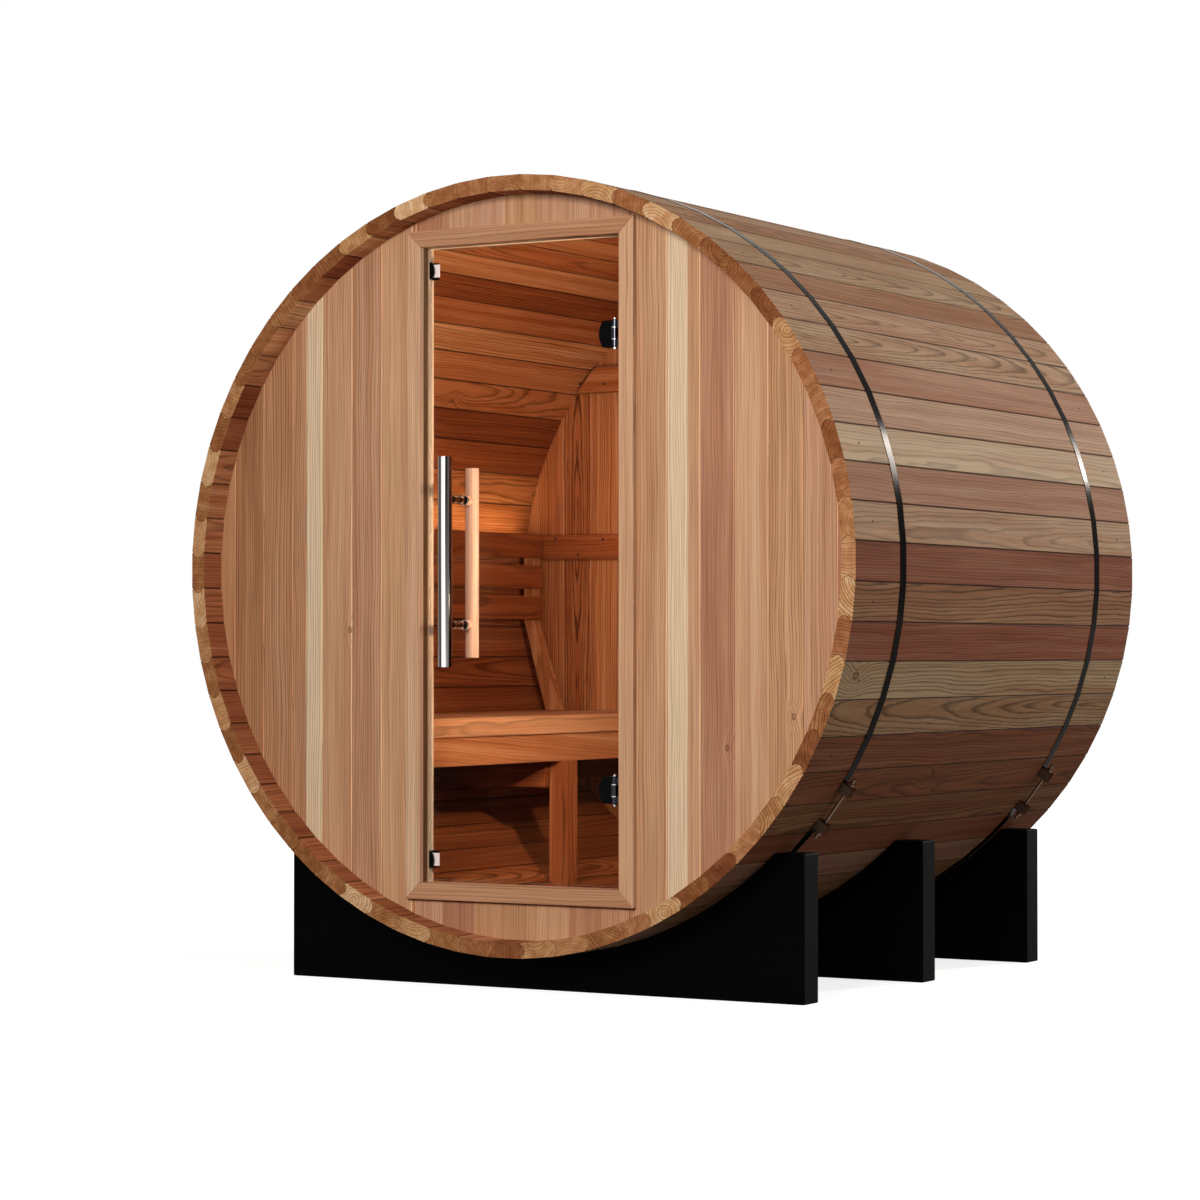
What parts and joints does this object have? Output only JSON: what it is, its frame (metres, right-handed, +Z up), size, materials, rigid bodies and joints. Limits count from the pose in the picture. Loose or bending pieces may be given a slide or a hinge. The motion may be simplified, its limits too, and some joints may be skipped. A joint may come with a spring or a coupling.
{
  "type": "barrel sauna",
  "caption": "Barrel-shaped timber sauna cabin of staves held by steel bands, with a hinged glass door, a side bench with backrest, and dark cradles to stand on",
  "frame": {"origin": "on the ground, under the middle of the barrel", "axes": "X is the width with the door's hinges towards +X, the door faces -Y, Z is up"},
  "size_m": [1.8024, 1.58, 1.8862],
  "materials": {
    "cedar_staves": "planed, unsealed",
    "cedar_boards": "planed, unsealed",
    "cedar_trim": "planed, unsealed",
    "cedar_inside": "sanded, unsealed",
    "black_timber": "black stain",
    "clear_glass": "clear",
    "bright_metal": "polished",
    "black_metal": "satin",
    "black_plastic": "satin",
    "warm_diffuser": "frosted",
    "steel_band": "mill"
  },
  "bodies": {
    "cabin": {"staves_top": "cedar_staves", "staves_upper_right": "cedar_staves", "staves_right": "cedar_staves", "staves_lower_right": "cedar_staves", "staves_bottom": "cedar_staves", "staves_lower_left": "cedar_staves", "staves_left": "cedar_staves", "staves_upper_left": "cedar_staves", "front_wall_left": "cedar_boards", "front_wall_right": "cedar_boards", "front_wall_over_door": "cedar_boards", "front_wall_under_door": "cedar_boards", "back_wall": "cedar_boards", "back_wall_cleats": "cedar_boards", "jamb_left": "cedar_trim", "jamb_right": "cedar_trim", "jamb_head": "cedar_trim", "door_sill": "cedar_trim", "casing_left": "cedar_trim", "casing_right": "cedar_trim", "casing_top": "cedar_trim", "casing_bottom": "cedar_trim", "bench_seat": "cedar_inside", "bench_fascia": "cedar_inside", "bench_leg": "cedar_inside", "bench_bearers": "cedar_inside", "backrest_slats": "cedar_inside", "backrest_brackets": "cedar_inside", "cradle_front": "black_timber", "cradle_middle": "black_timber", "cradle_back": "black_timber", "frame_knuckles": "bright_metal", "catch_blocks": "black_plastic", "light_strip": "warm_diffuser", "bands": "steel_band", "band_lugs": "steel_band", "band_rods": "bright_metal"},
    "door": {"door_glass": "clear_glass", "handle_tube": "bright_metal", "handle_bar": "cedar_trim", "handle_posts": "bright_metal", "hinge_clamps": "black_metal", "door_knuckles": "bright_metal", "strike_plates": "bright_metal"}
  },
  "joints": [
    {"name": "door_hinge", "type": "hinge", "parent": "cabin", "child": "door", "pos_m": [0.25, -0.714, 0.996], "axis": [0, 0, 1], "range_deg": [0, 105]}
  ]
}
